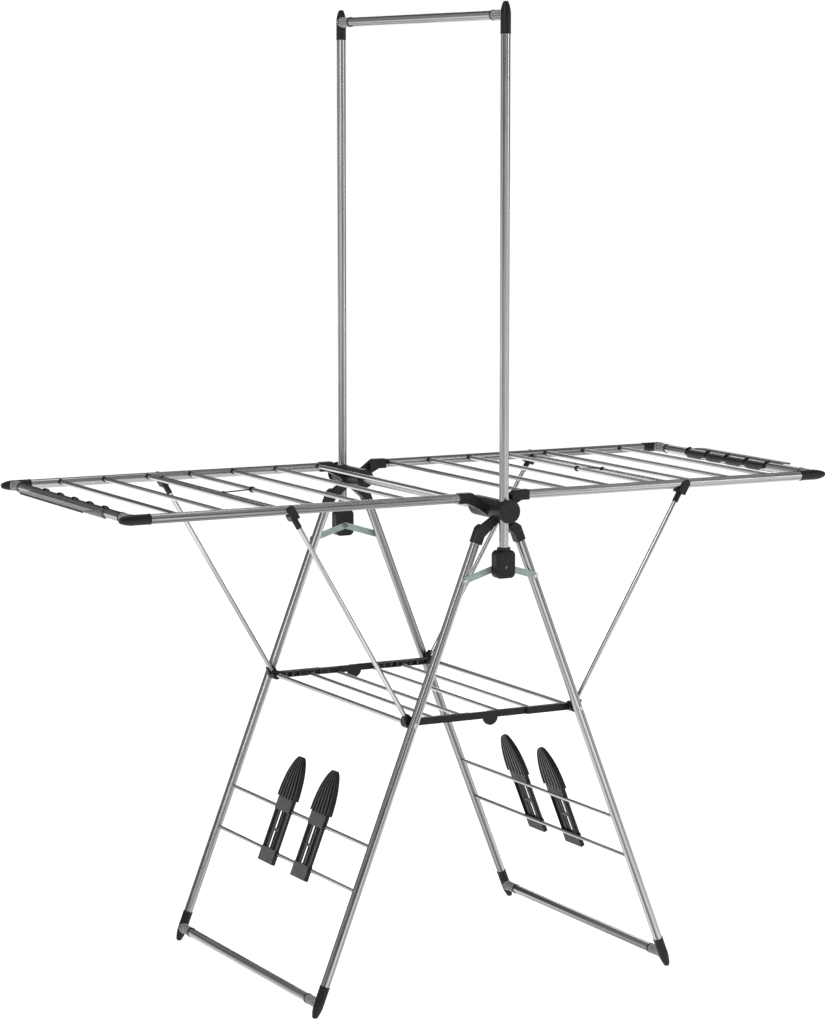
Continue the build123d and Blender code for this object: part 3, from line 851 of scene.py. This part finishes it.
@dataclass
class HangerComb:
    """Clip-on comb on an outer bar: half shell, flared ribbed wing with teeth, hooks and ramps."""

    side: Side
    bar_radius: float = 8.08 * MM
    shell: float = 10.2 * MM
    hook_top: float = 10.9 * MM
    hook_pitch: float = 65.0 * MM
    hook_half: float = 1.2 * MM
    rib_pitch: float = 3.8 * MM
    gap: float = 0.1 * MM
    wing_root: Span = (7.9 * MM, 6.4 * MM)
    wing_edge: Span = (41.8 * MM, 5.4 * MM)

    axes: Place = field(init=False)
    half: float = field(init=False)
    name: str = field(init=False)

    def __post_init__(self) -> None:
        """Finds the axes on the bar: local Z along the rack's Y, X outwards."""
        self.name = f"{self.side.prefix}_comb"
        low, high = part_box(self.name)
        bar = middle(f"{self.side.prefix}_wing_outer_bar")
        out = ACROSS * self.side.value
        self.axes = Place(Vector((bar.x, (low.y + high.y) / 2, bar.z)), out, UP, out.cross(UP))
        self.half = (high.y - low.y) / 2

    def band(self, start: float, end: float, inner: float, outer: float, low: float,
             high: float) -> Piece:
        """A stretch of shell between two angles, measured from outwards over the top.

        Args:
            start: First angle in degrees.
            end: Last angle in degrees.
            inner: Inner radius.
            outer: Outer radius.
            low: Start along the bar.
            high: End along the bar.

        Returns:
            The piece.
        """
        steps = max(6, round(abs(end - start) / 9))
        outline = arc(outer, start, end, steps) + arc(inner, end, start, steps)
        return prism(outline, low, high, self.axes)

    def ramp(self, low: float, high: float) -> Piece:
        """Dark guide on the inner lower side: deep behind a hook, then a thin strip to the next.

        Args:
            low: Start along the bar.
            high: End along the bar.

        Returns:
            The piece.
        """
        shape = bmesh.new()
        steps = 8
        plan = ((0.0, 246.0), (0.06, 256.0), (0.66, 252.0), (0.76, 214.0), (1.0, 204.0))
        sections = []
        for share, last in plan:
            outline = (arc(self.shell + self.gap, 150.0, last, steps)
                       + arc(self.bar_radius + self.gap, last, 150.0, steps))
            z = low + (high - low) * share
            sections.append([shape.verts.new((x, y, z)) for x, y in outline])
        count = len(sections[0])
        for one, two in zip(sections, sections[1:]):
            for i in range(count):
                j = (i + 1) % count
                shape.faces.new((one[i], one[j], two[j], two[i]))
        shape.faces.new(sections[0][::-1])
        shape.faces.new(sections[-1])
        return object_from(shape, self.axes)

    def on_wing(self, share: float, above: float) -> Span:
        """Point over the wing's upper face in the comb's cross-section.

        Args:
            share: Share of the wing's width.
            above: Height over the face.

        Returns:
            The point.
        """
        (x0, y0), (x1, y1) = self.wing_root, self.wing_edge
        run = math.hypot(x1 - x0, y1 - y0)
        normal = ((y0 - y1) / run, (x1 - x0) / run)
        return (x0 + (x1 - x0) * share + normal[0] * above, y0 + (y1 - y0) * share + normal[1] * above)

    def wing(self) -> Piece:
        """The flared plate without its ribs.

        Returns:
            The piece.
        """
        outline = [
            self.on_wing(0.02, 0), self.on_wing(0.38, 0), self.on_wing(0.4, 0.7 * MM),
            self.on_wing(0.44, 0.7 * MM), self.on_wing(0.46, 0), self.on_wing(0.99, 0),
            (self.wing_edge[0] - 0.3 * MM, self.wing_edge[1] - 1.6 * MM), (9.4 * MM, 3.6 * MM),
        ]
        return prism(outline, -self.half, self.half, self.axes)

    def row(self, outline: Profile, width: float, material: Material, seed: int) -> Piece:
        """A row of small ribs or teeth along the comb.

        Args:
            outline: Cross-section of one rib.
            width: Its width along the comb.
            material: Material of the row.
            seed: Seed of the small differences in size.

        Returns:
            The row.
        """
        rib = prism(outline, -width / 2, width / 2)
        count = int(2 * self.half / self.rib_pitch) - 1
        origin = self.axes.origin - self.axes.z * (count - 1) / 2 * self.rib_pitch
        start = Place(origin, self.axes.x, self.axes.y, self.axes.z)
        return Repeater(RepeatKind.ROW, seed).repeat(
            rib, count, self.rib_pitch, material, start, 0.004)

    def build(self, finishes: Finishes) -> None:
        """Makes the comb and hands it over.

        Args:
            finishes: The finishes.
        """
        bore = self.bar_radius + self.gap
        grey = [self.band(-78, 50, self.bar_radius, self.shell, -self.half, self.half), self.wing()]
        for piece in grey:
            dress(piece, finishes.clip_grey)
        rib = [self.on_wing(share, above * MM)
               for share, above in ((0.47, -0.3), (0.47, 0.6), (0.955, 0.5), (0.965, -0.3))]
        grey.append(self.row(rib, 2.5 * MM, finishes.clip_light, 5))
        bead = [self.on_wing(share, above * MM)
                for share, above in ((0.395, -0.2), (0.395, 1.0), (0.445, 1.0), (0.445, -0.2))]
        grey.append(self.row(bead, 1.6 * MM, finishes.black, 9))
        x, y = self.wing_edge
        tooth = [(x - back * MM, y - drop * MM)
                 for back, drop in ((1.9, 0.3), (0.1, 0.1), (0.1, 3.4), (1.6, 3.6))]
        grey.append(self.row(tooth, 2.1 * MM, finishes.black, 11))
        dark = []
        for k in range(-2, 3):
            low = k * self.hook_pitch - self.hook_half
            dark.append(self.band(70, 200, bore, self.hook_top, low, low + 2 * self.hook_half))
        for k in range(4):
            low = (k - 2) * self.hook_pitch + 2.0 * MM
            dark.append(self.ramp(low, low + self.hook_pitch - 4.0 * MM))
        for piece in dark:
            soften(piece, 0.35 * MM)
            dress(piece, finishes.black)
        made = joined(self.name + "_clip", grey + dark)
        hand_over(made, f"{self.side.prefix}_hanger_comb", "clip_plastic", self.name)


@dataclass
class ShoeHolder:
    """Snap-on shoe holder: ribbed pointed hood, two grooved blocks and a slotted stem, black with painted
    highlight in grey on its raised faces, lips and rib crests.
    """

    side: Side
    end: str
    leg_axis: Vector
    tip_to_rods: float = 135.0 * MM
    hood_half: float = 32.5 * MM
    tip_half: float = 9.0 * MM
    hood_length: float = 77.0 * MM
    block_half: float = 28.0 * MM
    stem_half: float = 26.0 * MM
    stem: Span = (100.0 * MM, 170.0 * MM)
    hood_low: float = -2.8 * MM
    hood_high: float = 8.8 * MM
    back: float = -1.5 * MM
    face: float = 6.2 * MM
    groove_radius: float = 3.34 * MM
    groove: float = 3.4 * MM
    ribs: int = 6
    node: str = field(init=False)
    axes: Place = field(init=False)

    def __post_init__(self) -> None:
        """Finds the axes at the hood's tip: X down the leg, Y along the rods, Z outwards from the leg."""
        self.node = f"{self.side.prefix}_{self.end}_shoe_holder"
        low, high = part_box(self.node)
        rods = middle(f"{self.side.prefix}_shoe_rods")
        outward = Vector((-self.side.value * self.leg_axis.z, 0, self.side.value * self.leg_axis.x))
        outward = outward if outward.x * self.side.value > 0 else -outward
        tip = Vector((rods.x, (low.y + high.y) / 2, rods.z)) - self.leg_axis * self.tip_to_rods
        along = self.leg_axis.normalized()
        self.axes = Place(tip, along, outward.cross(along), outward)

    def half_width(self, share: float) -> float:
        """Half width of the hood at a share of its length from the tip."""
        curve = math.sin(math.pi / 2 * share ** 0.82)
        return self.tip_half + (self.hood_half - self.tip_half) * curve

    def hood(self, finishes: Finishes) -> Piece:
        """Hood with ridges on both faces that run together towards the blunt tip.

        Args:
            finishes: The finishes.

        Returns:
            The piece.
        """
        shape = bmesh.new()
        rows, columns, blunt = 26, self.ribs * 6, 0.12
        above, below = [], []
        for r in range(rows + 1):
            share = r / rows
            half = self.half_width(share)
            if share <= blunt:
                half *= math.sqrt(1 - (1 - share / blunt) ** 2 * 0.5)
            crown = 0.62 + 0.38 * math.sin(math.pi / 2 * min(1.0, share * 2.0))
            high, low = self.hood_high * crown, self.hood_low * crown
            above.append([])
            below.append([])
            for c in range(columns + 1):
                across = -1 + 2 * c / columns
                depth = self.groove * min(1.0, share * 7) if c % 6 in (2, 3, 4) else 0.0
                arch = 1 - 0.16 * across ** 4
                x, y = self.hood_length * share, across * half
                above[r].append(shape.verts.new((x, y, high * arch - depth)))
                below[r].append(shape.verts.new((x, y, low + depth)))
        for r in range(rows):
            for c in range(columns):
                for grid, order in ((above, (0, 1, 2, 3)), (below, (0, 3, 2, 1))):
                    corners = (grid[r][c], grid[r + 1][c], grid[r + 1][c + 1], grid[r][c + 1])
                    face = shape.faces.new([corners[k] for k in order])
                    # Painted highlight: the rib crests take the grey, the grooves and their walls keep the
                    # black.
                    face.material_index = 0 if c % 6 in (1, 2, 3, 4) else 1
            for c in (0, columns):
                shape.faces.new((above[r][c], below[r][c], below[r + 1][c], above[r + 1][c]))
        for r in (0, rows):
            for c in range(columns):
                shape.faces.new((above[r][c], above[r][c + 1], below[r][c + 1], below[r][c]))
        piece = object_from(shape, self.axes, smooth_angle=28)
        for material in (finishes.holder_black, finishes.holder_grey):
            piece.data.materials.append(material)
        return piece

    def slab(self, xs: Span, ys: Span, zs: Span, material: Material, rounding: float) -> Piece:
        """A straight part of the holder with rounded edges.

        Args:
            xs: Start and end down the leg.
            ys: Start and end along the rods.
            zs: Start and end outwards.
            material: Its material.
            rounding: Width of the rounding.

        Returns:
            The piece.
        """
        return prism(rectangle(*xs, *ys), *zs, self.axes, material, rounding)

    def block(self, x0: float, x1: float, rod: float, material: Material) -> Piece:
        """A block with an open groove for the rod, drawn in profile and extruded along the rod.

        Args:
            x0: Upper end.
            x1: Lower end.
            rod: Place of the rod.
            material: Its material.

        Returns:
            The piece.
        """
        half_open = math.sqrt(self.groove_radius ** 2 - self.back ** 2)
        start = math.degrees(math.atan2(self.back, -half_open)) % 360
        end = math.degrees(math.atan2(self.back, half_open))
        notch = [(rod + x, z) for x, z in arc(self.groove_radius, start, end, 10)]
        outline = [(x0, self.back), *notch, (x1, self.back), (x1, self.face), (x0, self.face)]
        lying = Place(self.axes.origin, self.axes.x, self.axes.z, -self.axes.y)
        return prism(outline, -self.block_half, self.block_half, lying, material, 0.5 * MM)

    def build(self, finishes: Finishes) -> None:
        """Makes the holder and hands it over.

        Args:
            finishes: The finishes.
        """
        # The grey on the block faces, the wall lips and the cross rib is painted highlight on the raised
        # outward faces; the black is the moulding.
        black, light = finishes.holder_black, finishes.holder_grey
        dark, grey = [], []
        half = self.block_half - 0.5 * MM
        # Thin grey skin over each block's outward face: painted highlight.
        face_highlight = (self.face - 0.4 * MM, self.face + 0.3 * MM)
        for x0, x1, rod in ((77.0, 101.0, 96.0), (169.0, 195.0, 174.0)):
            dark.append(self.block(x0 * MM, x1 * MM, rod * MM, black))
            grey.append(self.slab(((x0 + 0.4) * MM, (x1 - 0.4) * MM), (-half, half), face_highlight, light, 0.2 * MM))
        floor, web = self.face - 2.0 * MM, self.face - 4.4 * MM
        lip = (floor - 0.4 * MM, self.face)
        edge = self.stem_half
        for sign in (-1, 1):
            web_wall_lips = (
                (9.4 * MM, edge - 1.0 * MM, (web, floor), dark, black),
                (edge - 2.0 * MM, edge, (self.back, floor), dark, black),
                (edge - 1.8 * MM, edge, lip, grey, light), (9.4 * MM, 10.6 * MM, lip, grey, light))
            for near, far, zs, group, tone in web_wall_lips:
                ys = tuple(sorted((sign * near, sign * far)))
                group.append(self.slab(self.stem, ys, zs, tone, 0.3 * MM))
        dark.append(self.slab(self.stem, (-1.9 * MM, 1.9 * MM), (web, floor), black, 0.4 * MM))
        grey.append(self.slab((133.0 * MM, 138.0 * MM), (-10.0 * MM, 10.0 * MM),
                              (web, self.face - 0.3 * MM), light, 0.6 * MM))
        made = joined(self.node + "_moulding", [self.hood(finishes), *dark, *grey])
        hand_over(made, f"{self.side.prefix}_{self.end}_holder", "holder_plastic", self.node)


@dataclass
class LatchWire:
    """Wire latch under a wing: ring on a wing rod, thin wire and a small hook at the prop's rod."""

    side: Side
    ring_x: float = 325.0 * MM
    hook_x: float = 379.0 * MM
    hook_z: float = 848.9 * MM
    ring: float = 5.3 * MM
    bore: float = 3.83 * MM
    hook: float = 5.6 * MM
    hook_bore: float = 4.2 * MM
    width: float = 5.0 * MM
    wire: float = 1.15 * MM

    def build(self, finishes: Finishes) -> None:
        """Makes the latch and hands it over.

        Args:
            finishes: The finishes.
        """
        node = f"{self.side.prefix}_latch"
        y = middle(node).y
        out = ACROSS * self.side.value
        ring_at = Vector((out.x * self.ring_x, y, middle(f"{self.side.prefix}_wing_rods").z))
        hook_at = Vector((out.x * self.hook_x, y, self.hook_z))
        half, black, rounding = self.width / 2, finishes.black, 0.3 * MM
        ring = [(self.bore, -half), (self.ring, -half), (self.ring, half), (self.bore, half)]
        hook = arc(self.hook, 64, 190, 14) + arc(self.hook_bore, 190, 64, 14)
        ring_axes, hook_axes = (Place(at, out, UP, out.cross(UP)) for at in (ring_at, hook_at))
        pieces = [lathe(ring, 32, ring_axes, black, rounding),
                  prism(hook, -half, half, hook_axes, black, rounding)]
        start = ring_at + out * (self.ring - 0.5 * MM) + UP * 0.3 * MM
        finish = hook_at - out * (self.hook - 0.8 * MM) * 0.8 + UP * (self.hook * 0.6)
        span = (finish - start).length
        pieces.append(lathe([(0, 0), (self.wire, 0), (self.wire, span), (0, span)], 14,
                            Place.along(start, finish - start, UP), black))
        hand_over(joined(node + "_wire", pieces), f"{self.side.prefix}_latch_wire", "latch_plastic", node)


@dataclass
class Rivets:
    """Bright domed heads on the outer rivets of the links."""

    side: Side
    x: float = 67.0 * MM
    z: float = 716.5 * MM
    radius: float = 3.5 * MM
    dome: float = 0.5 * MM

    def build(self, finishes: Finishes) -> None:
        """Makes both heads and hands them over.

        Args:
            finishes: The finishes.
        """
        side = self.side
        low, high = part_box(f"{side.prefix}_links")
        r, d, sunk = self.radius, self.dome, -0.2 * MM
        head = [(0, sunk), (r, sunk), (r, 0.25 * d), (0.8 * r, 0.7 * d), (0.4 * r, d), (0, d)]
        pieces = []
        for sign, face in zip(FRONT_BACK, (low.y, high.y)):
            place = Place.along(Vector((side.value * self.x, face, self.z)), DEPTH * sign, ACROSS)
            pieces.append(lathe(head, 28, place, finishes.bright))
        hand_over(joined(f"{side.prefix}_rivet_heads", pieces), f"{side.prefix}_link", "fastener_steel")


@dataclass
class ShelfRelief:
    """Upright webs and edge strips on the inner faces of a shelf half's side bars, drawn in grey as painted
    highlight on the black bars.
    """

    side: Side
    inner: float = 248.2 * MM
    bottom: float = 471.9 * MM
    top: float = 483.1 * MM
    near: float = 38.0 * MM
    far: float = 148.0 * MM
    strip: float = 1.4 * MM
    depth: float = 1.0 * MM
    sunk: float = 0.3 * MM
    pitch: float = 14.0 * MM

    def build(self, finishes: Finishes) -> None:
        """Makes the webs on both bars and hands them over.

        Args:
            finishes: The finishes.
        """
        node = f"{self.side.prefix}_shelf_bars"
        # The grey on the raised webs and strips is painted highlight.
        grey = finishes.holder_grey
        x0, x1 = sorted((self.side.value * self.near, self.side.value * self.far))
        tall, half = (self.top - self.bottom) * 0.48, self.strip / 2
        pieces = []
        for sign in FRONT_BACK:
            face = sign * self.inner
            y0, y1 = sorted((face + sign * self.sunk, face - sign * self.depth))
            for low in (self.bottom, self.top - self.strip):
                pieces.append(prism(rectangle(x0, x1, y0, y1), low, low + self.strip, material=grey))
            web = prism(rectangle(-tall, tall, -self.sunk, self.depth), -half, half)
            place = Place(Vector((x0 + 0.5 * self.pitch, face, (self.bottom + self.top) / 2)),
                          UP * sign, DEPTH * -sign, ACROSS)
            pieces.append(Repeater(RepeatKind.ROW, 3).repeat(
                web, int((x1 - x0) / self.pitch), self.pitch, grey, place))
        hand_over(joined(node + "_relief", pieces), f"{self.side.prefix}_shelf", "black_plastic")


@dataclass
class Skeleton:
    """Tubes, rods, arms, connectors and boxes whose CAD shape stays, with their finishes."""

    leg_axes: dict[Side, Vector]
    prop_axes: dict[Side, Vector]

    def dress(self, finishes: Finishes) -> None:
        """Gives every kept CAD node its finish.

        Args:
            finishes: The finishes.
        """
        along_y, rod = finishes.steel(DEPTH), finishes.steel(DEPTH, True)
        black, hub = finishes.black, finishes.hub_black
        plan: dict[str, Material] = {
            "axle_tube": along_y, "posts": finishes.steel(UP), "hanger_bar": along_y,
            "post_collars": hub, "hub_caps": hub, "axle_spacers": hub, "hanger_bar_connectors": black,
            "link_boxes": black, "link_box_plates": black, "link_screws": finishes.screw,
        }
        for side in Side:
            half = {
                "wing_tubes": finishes.steel(ACROSS), "wing_outer_bar": along_y, "wing_rods": rod,
                "wing_eyelets": black, "wing_arms": hub, "wing_connectors": black,
                "leg_tubes": finishes.steel(self.leg_axes[side]), "foot_bar": along_y, "leg_arms": hub,
                "foot_connectors": black, "leg_cross_rod": rod, "shoe_rods": rod,
                "links": finishes.zinc, "shelf_bars": black, "shelf_rods": rod, "prop_feet": black,
                "prop_saddles": black, "prop_bars": finishes.steel(self.prop_axes[side], True),
            }
            plan.update({f"{side.prefix}_{node}": finish for node, finish in half.items()})
        for node, finish in plan.items():
            dress(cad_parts[node], finish)
            LOG.info("%s dressed", node)


@dataclass
class Studio:
    """Pale floor, soft light and the camera; each light has its place, size and power."""

    camera_place: Vector = field(default_factory=lambda: Vector((-2.59014, -4.84241, 1.50998)))
    azimuth: float = -28.0168
    pitch: float = 7.3806
    lens: float = 111.18
    sensor: float = 36.0
    floor_reach: float = 60.0
    lights_at: Sequence[float] = (0, 0, 0.8)
    lights: tuple[tuple, ...] = (
        ("key", (-3.6, -2.6, 3.2), (1.6, 3.0), 60.0), ("fill", (3.4, -3.6, 2.2), (1.0, 2.6), 26.0),
        ("top", (0.2, 0.6, 4.4), (2.4, 1.6), 26.0), ("back", (2.2, 4.0, 2.4), (1.2, 2.4), 16.0),
    )
    room_tones: tuple[Span, ...] = ((0.12, 0.42), (0.45, 0.46), (0.78, 0.42), (0.93, 0.08))

    def camera(self) -> None:
        """Makes the camera."""
        data = bpy.data.cameras.new("camera")
        data.lens = self.lens
        data.sensor_width = self.sensor
        data.sensor_fit = "AUTO"
        data.clip_end = self.floor_reach
        made = linked("camera", data)
        made.location = self.camera_place
        made.rotation_euler = (math.radians(90 - self.pitch), 0, math.radians(self.azimuth))
        bpy.context.scene.camera = made

    def floor(self) -> None:
        """Makes the floor."""
        shape = bmesh.new()
        reach = self.floor_reach
        corners = rectangle(-reach, reach, -reach, reach)
        shape.faces.new([shape.verts.new((x, y, -0.5 * MM)) for x, y in corners])
        mesh = bpy.data.meshes.new("floor")
        shape.to_mesh(mesh)
        shape.free()
        made = linked("floor", mesh)
        tree = MaterialTree("pale_floor")
        tree.shader.inputs["Base Color"].default_value = (0.93, 0.93, 0.93, 1.0)
        tree.shader.inputs["Roughness"].default_value = 0.9
        tree.shader.inputs["Emission Color"].default_value = (1.0, 1.0, 1.0, 1.0)
        tree.shader.inputs["Emission Strength"].default_value = 0.75
        dress(made, tree.material)

    def softbox(self, name: str, place: Vector, size: Span, power: float) -> None:
        """Adds a soft rectangular light that points at the rack.

        Args:
            name: Its name.
            place: Where it stands.
            size: Width and height in metres.
            power: Power in watts.
        """
        data = bpy.data.lights.new(name, "AREA")
        data.shape = "RECTANGLE"
        data.size, data.size_y = size
        data.energy = power
        made = linked(name, data)
        made.location = place
        made.rotation_euler = (Vector(self.lights_at) - place).to_track_quat("-Z", "Y").to_euler()

    def surroundings(self) -> None:
        """Room for reflections: bright behind the camera, dark beyond the rack, white when seen."""
        world = bpy.data.worlds.new("studio")
        bpy.context.scene.world = world
        world.use_nodes = True
        nodes, links = world.node_tree.nodes, world.node_tree.links
        nodes.clear()
        path, place = nodes.new("ShaderNodeLightPath"), nodes.new("ShaderNodeTexCoord")
        away = nodes.new("ShaderNodeVectorMath")
        away.operation = "DOT_PRODUCT"
        turn, drop = math.radians(self.azimuth), math.radians(self.pitch)
        away.inputs[1].default_value = (
            -math.sin(turn) * math.cos(drop), math.cos(turn) * math.cos(drop), -math.sin(drop))
        ramp = nodes.new("ShaderNodeValToRGB")
        while len(ramp.color_ramp.elements) < len(self.room_tones):
            ramp.color_ramp.elements.new(0.5)
        for spot, (position, tone) in zip(ramp.color_ramp.elements, self.room_tones):
            spot.position = position
            spot.color = (tone, tone, tone, 1.0)
        share = nodes.new("ShaderNodeMapRange")
        share.inputs["From Min"].default_value = -1.0
        room, seen = nodes.new("ShaderNodeBackground"), nodes.new("ShaderNodeBackground")
        room.inputs["Strength"].default_value = 0.8
        seen.inputs["Color"].default_value = (1.0, 1.0, 1.0, 1.0)
        mix, out = nodes.new("ShaderNodeMixShader"), nodes.new("ShaderNodeOutputWorld")
        links.new(place.outputs["Generated"], away.inputs[0])
        links.new(away.outputs["Value"], share.inputs["Value"])
        links.new(share.outputs["Result"], ramp.inputs["Fac"])
        links.new(ramp.outputs["Color"], room.inputs["Color"])
        links.new(path.outputs["Is Camera Ray"], mix.inputs["Fac"])
        links.new(room.outputs["Background"], mix.inputs[1])
        links.new(seen.outputs["Background"], mix.inputs[2])
        links.new(mix.outputs["Shader"], out.inputs["Surface"])

    def build(self) -> None:
        """Makes the whole studio."""
        self.camera()
        self.floor()
        self.surroundings()
        for name, place, size, power in self.lights:
            self.softbox(name, Vector(place), size, power)
        settings = bpy.context.scene.view_settings
        settings.view_transform = "Standard"
        settings.look = "None"


def run_axis(node: str, side: Side) -> Vector:
    """Direction of a slanted tube in the XZ plane, downwards, from its node's box.

    Args:
        node: Name of the tube's node.
        side: The half it is on.

    Returns:
        The direction, of length 1.
    """
    low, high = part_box(node)
    width = 2 * TUBE_RADIUS
    span = Vector((high.x - low.x - 0.93 * width, 0, high.z - low.z - 0.36 * width))
    return Vector((side.value * span.x, 0, -span.z)).normalized()


def main() -> None:
    """Builds the studio and every sub-assembly in order."""
    logging.basicConfig(level=logging.INFO, format="%(name)s: %(message)s")
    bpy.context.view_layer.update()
    Studio().build()
    finishes = Finishes()
    leg_axes = {side: run_axis(f"{side.prefix}_leg_tubes", side) for side in Side}
    prop_axes = {side: run_axis(f"{side.prefix}_prop_bars", side) for side in Side}
    prop_axes = {side: Vector((axis.x, 0, -axis.z)) for side, axis in prop_axes.items()}
    Skeleton(leg_axes, prop_axes).dress(finishes)
    BranchSleeves("hanger_bar_sleeve", "hanger_rail", "hanger_bar", "hanger_bar_sleeves",
                  UP).build(finishes)
    for side in Side:
        word = side.prefix
        BranchSleeves(f"{word}_wing_sleeve", f"{word}_wing", f"{word}_wing_outer_bar",
                      f"{word}_wing_sleeves", ACROSS).build(finishes)
        BranchSleeves(f"{word}_foot_sleeve", f"{word}_leg", f"{word}_foot_bar",
                      f"{word}_foot_sleeves", leg_axes[side]).build(finishes)
        HangerComb(side).build(finishes)
        LatchWire(side).build(finishes)
        Rivets(side).build(finishes)
        ShelfRelief(side).build(finishes)
        for end in ("front", "back"):
            ShoeHolder(side, end, leg_axes[side]).build(finishes)
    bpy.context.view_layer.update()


if __name__ == "__main__":
    main()
